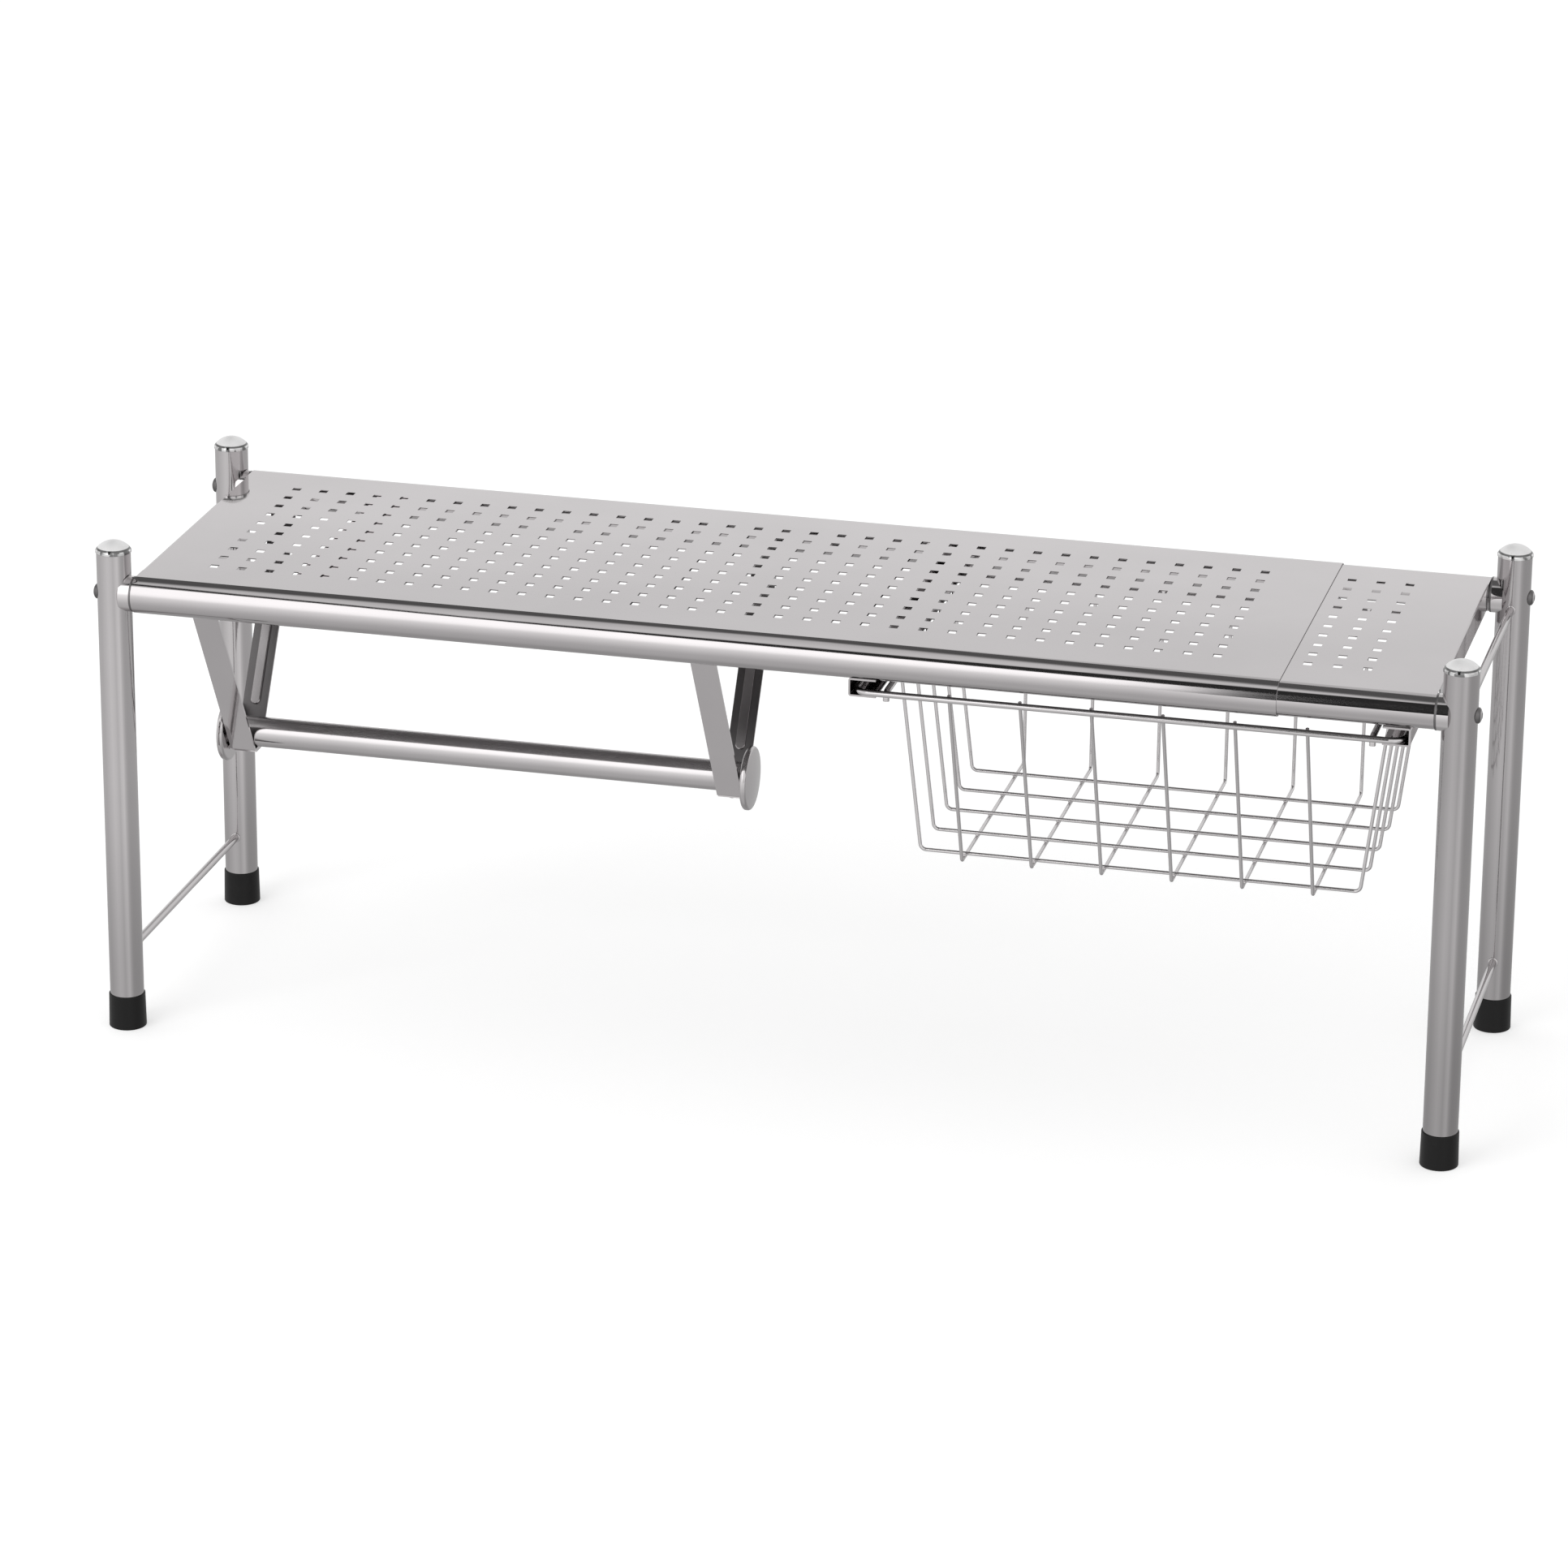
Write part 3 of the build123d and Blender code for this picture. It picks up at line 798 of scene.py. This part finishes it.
def add_lamp(name, place, size, power):
    """A soft panel that shines on the middle of the stage and isn't seen itself."""
    data = bpy.data.lights.new(name, "AREA")
    data.shape = "RECTANGLE"
    data.size, data.size_y = size
    data.energy = power
    lamp = bpy.data.objects.new(name, data)
    lamp.location = place
    lamp.rotation_euler = (-Vector(place)).to_track_quat("-Z", "Y").to_euler()
    lamp.visible_glossy = False
    lamp.visible_camera = False
    bpy.context.scene.collection.objects.link(lamp)


def bent_edge(across, bend, at_bend, rightward, leftward):
    """Turn of a panel's edge in degrees, which grows by so much per unit beside its bend."""
    right = (across - bend).at_least(0) * rightward
    left = (bend - across).at_least(0) * leftward
    return at_bend + right + left


def seen_above(sheet, across, turn):
    """Upper half of what polished steel sees: soft bands with a dark gap and a dark panel.

    across is the direction's part to the right, and turn is its degrees from the front over
    the top to the back. The edges slant, so that they run along the decks' rolled edges.
    """
    bands = sheet.ramp(turn / 180, OVER_THE_TOP)
    calm = sheet.ramp(turn / 180, OVER_THE_TOP_ASIDE)

    gap_start = bent_edge(across, bend=-0.2886, at_bend=58, rightward=-175, leftward=350)
    gap_end = bent_edge(across, bend=-0.28, at_bend=62, rightward=0, leftward=400)
    right_end = across.smooth(-0.168, -0.161) * turn.smooth(-5, 0)
    opening = turn.smooth(gap_start - 2, gap_start + 2).at_least(right_end)
    gap = opening * (1 - turn.smooth(gap_end, gap_end + 7))

    panel_start = bent_edge(across, bend=-0.2315, at_bend=120, rightward=-430, leftward=-150)
    panel_end = bent_edge(across, bend=-0.2315, at_bend=159, rightward=-320, leftward=0)
    panel = turn.smooth(panel_start - 12, panel_start + 8)
    panel = panel * (1 - turn.smooth(panel_end - 4, panel_end))

    lit = bands * (1 - gap * GAP_SHARE)
    staged = lit + panel * (PANEL_LIGHT - lit)
    aside = across.smooth(-0.11, 0.02) + 1 - across.smooth(-0.5, -0.38)
    return staged + aside * (calm - staged)


def seen_below(sheet, across, away, height):
    """Lower half: two soft streaks to the front and a dimmer side, paler near the horizon."""
    heading = sheet.angle(across, 0 - away) / 360 + 0.5
    return sheet.ramp(heading, ROUND_ABOUT) * sheet.ramp(0 - height, DOWNWARD)


def light_world():
    """Even soft dome, in which polished steel sees panels, gaps and a paler floor instead."""
    world = bpy.data.worlds.new("studio_dome")
    bpy.context.scene.world = world
    world.use_nodes = True
    sheet = Sheet(world.node_tree)
    direction = sheet.node("ShaderNodeTexCoord", output="Generated")
    across, away, height = (sheet.part(direction, index) for index in range(3))
    above = seen_above(sheet, across, sheet.angle(height, 0 - away))
    below = seen_below(sheet, across, away, height)
    over_horizon = height.smooth(-0.01, 0.01)
    mirrored = below + over_horizon * (above - below)
    glossy = sheet.node("ShaderNodeLightPath", output="Is Glossy Ray")
    to_camera = sheet.node("ShaderNodeLightPath", output="Is Camera Ray")
    dome = DOME_LIGHT + to_camera * (1 - DOME_LIGHT)
    white = {"Color": (1, 1, 1, 1), "Strength": dome + glossy * (mirrored - dome)}
    background = sheet.node("ShaderNodeBackground", None, white)
    sheet.node("ShaderNodeOutputWorld", None, {"Surface": background})


class SHELF_OT_stage(ShelfOperator, bpy.types.Operator):
    """Add the camera, the pale floor and the soft light"""

    bl_idname = "shelf.stage"
    bl_label = "Studio stage"

    def execute(self, context):
        stage = context.scene.shelf_stage
        add_camera(stage)
        add_floor(stage)
        light_world()
        add_lamp("front_lamp", place=(-1.4, -2.2, 2.0), size=(1.6, 1.6), power=18.0)
        context.scene.view_settings.view_transform = "Standard"
        return {"FINISHED"}


class SHELF_PT_panel(bpy.types.Panel):
    """Steps and settings of the shelf"""

    bl_idname = "SHELF_PT_panel"
    bl_label = "Over-Sink Shelf"
    bl_space_type = "VIEW_3D"
    bl_region_type = "UI"
    bl_category = "Shelf"

    def draw(self, context):
        scene = context.scene
        for step in STEPS:
            self.layout.operator(step.bl_idname)
        for group in (scene.shelf_finish, scene.shelf_welds, scene.shelf_stage):
            for name in group.bl_rna.properties.keys():
                if name not in ("rna_type", "name"):
                    self.layout.prop(group, name)


STEPS = (
    SHELF_OT_stage, SHELF_OT_decks, SHELF_OT_legs, SHELF_OT_rod_welds, SHELF_OT_bolt_heads,
    SHELF_OT_feet, SHELF_OT_roll_holder, SHELF_OT_basket, SHELF_OT_basket_welds,
)
CLASSES = (ShelfFinish, ShelfWelds, ShelfStage, *STEPS, SHELF_PT_panel)


def register():
    for item in CLASSES:
        bpy.utils.register_class(item)
    bpy.types.Scene.shelf_finish = PointerProperty(type=ShelfFinish)
    bpy.types.Scene.shelf_welds = PointerProperty(type=ShelfWelds)
    bpy.types.Scene.shelf_stage = PointerProperty(type=ShelfStage)


def unregister():
    del bpy.types.Scene.shelf_stage
    del bpy.types.Scene.shelf_welds
    del bpy.types.Scene.shelf_finish
    for item in reversed(CLASSES):
        bpy.utils.unregister_class(item)


def main():
    register()
    for step in STEPS:
        group, name = step.bl_idname.split(".")
        getattr(getattr(bpy.ops, group), name)()


if __name__ == "__main__":
    main()
